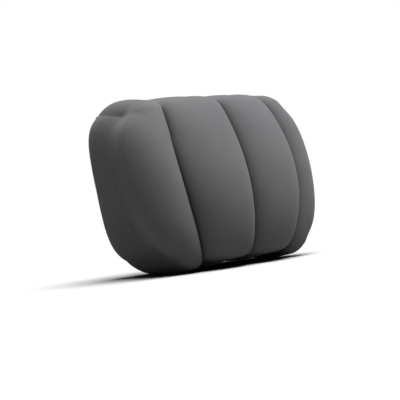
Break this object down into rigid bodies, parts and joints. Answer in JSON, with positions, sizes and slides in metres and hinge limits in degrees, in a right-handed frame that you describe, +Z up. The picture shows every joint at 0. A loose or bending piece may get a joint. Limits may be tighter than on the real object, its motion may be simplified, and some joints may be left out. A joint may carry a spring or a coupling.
{
  "type": "lumbar support cushion",
  "caption": "Lumbar cushion with a lobed, domed front, side band and flat back, a zipped cover and a buckled strap to fasten it round a backrest.",
  "frame": {"origin": "middle of the bottom of the part's box, under the cushion standing on its lower edge", "axes": "+X across the cushion, to the sitter's left as they sit against it; -Y the way the lobed front faces, towards the sitter; +Z up along the flat back"},
  "size_m": [0.3654, 0.2406, 0.2987],
  "materials": {
    "cover_knit": "matte",
    "spacer_mesh": "matte",
    "memory_foam": "matte",
    "liner_jersey": "matte",
    "webbing": "matte",
    "zip_tape": "matte",
    "zip_coil": "satin",
    "zip_metal": "satin",
    "acetal": "satin",
    "label_satin": "satin"
  },
  "bodies": {
    "cushion": {"foam_core": "memory_foam", "foam_liner": "liner_jersey", "front_lobe_1": "cover_knit", "front_lobe_2": "cover_knit", "front_lobe_3": "cover_knit", "front_lobe_4": "cover_knit", "side_band": "cover_knit", "back_panel": "spacer_mesh", "back_hem_panel": "spacer_mesh", "zip_tape_upper": "zip_tape", "zip_tape_lower": "zip_tape", "zip_coil_upper": "zip_coil", "zip_coil_lower": "zip_coil", "zip_stop_left": "zip_metal", "zip_stop_right": "zip_metal", "strap_left": "webbing", "strap_right": "webbing", "strap_patch_left": "webbing", "strap_patch_right": "webbing", "buckle_female": "acetal", "care_label": "label_satin"},
    "zip_slider": {"zip_slider": "zip_metal"},
    "zip_pull": {"zip_pull": "zip_metal"},
    "keeper": {"strap_keeper": "acetal"},
    "buckle_male": {"buckle_male": "acetal"},
    "prong_upper": {"buckle_prong_upper": "acetal"},
    "prong_lower": {"buckle_prong_lower": "acetal"}
  },
  "joints": [
    {"name": "zip_run", "type": "slide", "parent": "cushion", "child": "zip_slider", "axis": [-1, 0, 0], "range_m": [0, 0.1895]},
    {"name": "zip_pull_swing", "type": "hinge", "parent": "zip_slider", "child": "zip_pull", "pos_m": [0.09476, 0.11367, 0.079], "axis": [0, 0, -1], "range_deg": [0, 175]},
    {"name": "buckle_release", "type": "slide", "parent": "cushion", "child": "buckle_male", "axis": [1, 0, 0], "range_m": [0, 0.026], "deforming": ["strap_right"]},
    {"name": "prong_upper_squeeze", "type": "hinge", "parent": "buckle_male", "child": "prong_upper", "pos_m": [-0.0081, 0.11614, 0.1861], "axis": [0, -1, 0], "range_deg": [0, 5], "stiffness_Nm_per_rad": 0.05},
    {"name": "prong_lower_squeeze", "type": "hinge", "parent": "buckle_male", "child": "prong_lower", "pos_m": [-0.0081, 0.11614, 0.1599], "axis": [0, 1, 0], "range_deg": [0, 5], "stiffness_Nm_per_rad": 0.05},
    {"name": "keeper_run", "type": "slide", "parent": "cushion", "child": "keeper", "axis": [1, 0, 0], "range_m": [-0.015, 0.014]}
  ],
  "couplings": [
    {"joint": "prong_lower_squeeze", "follows": "prong_upper_squeeze", "ratio": 1}
  ]
}
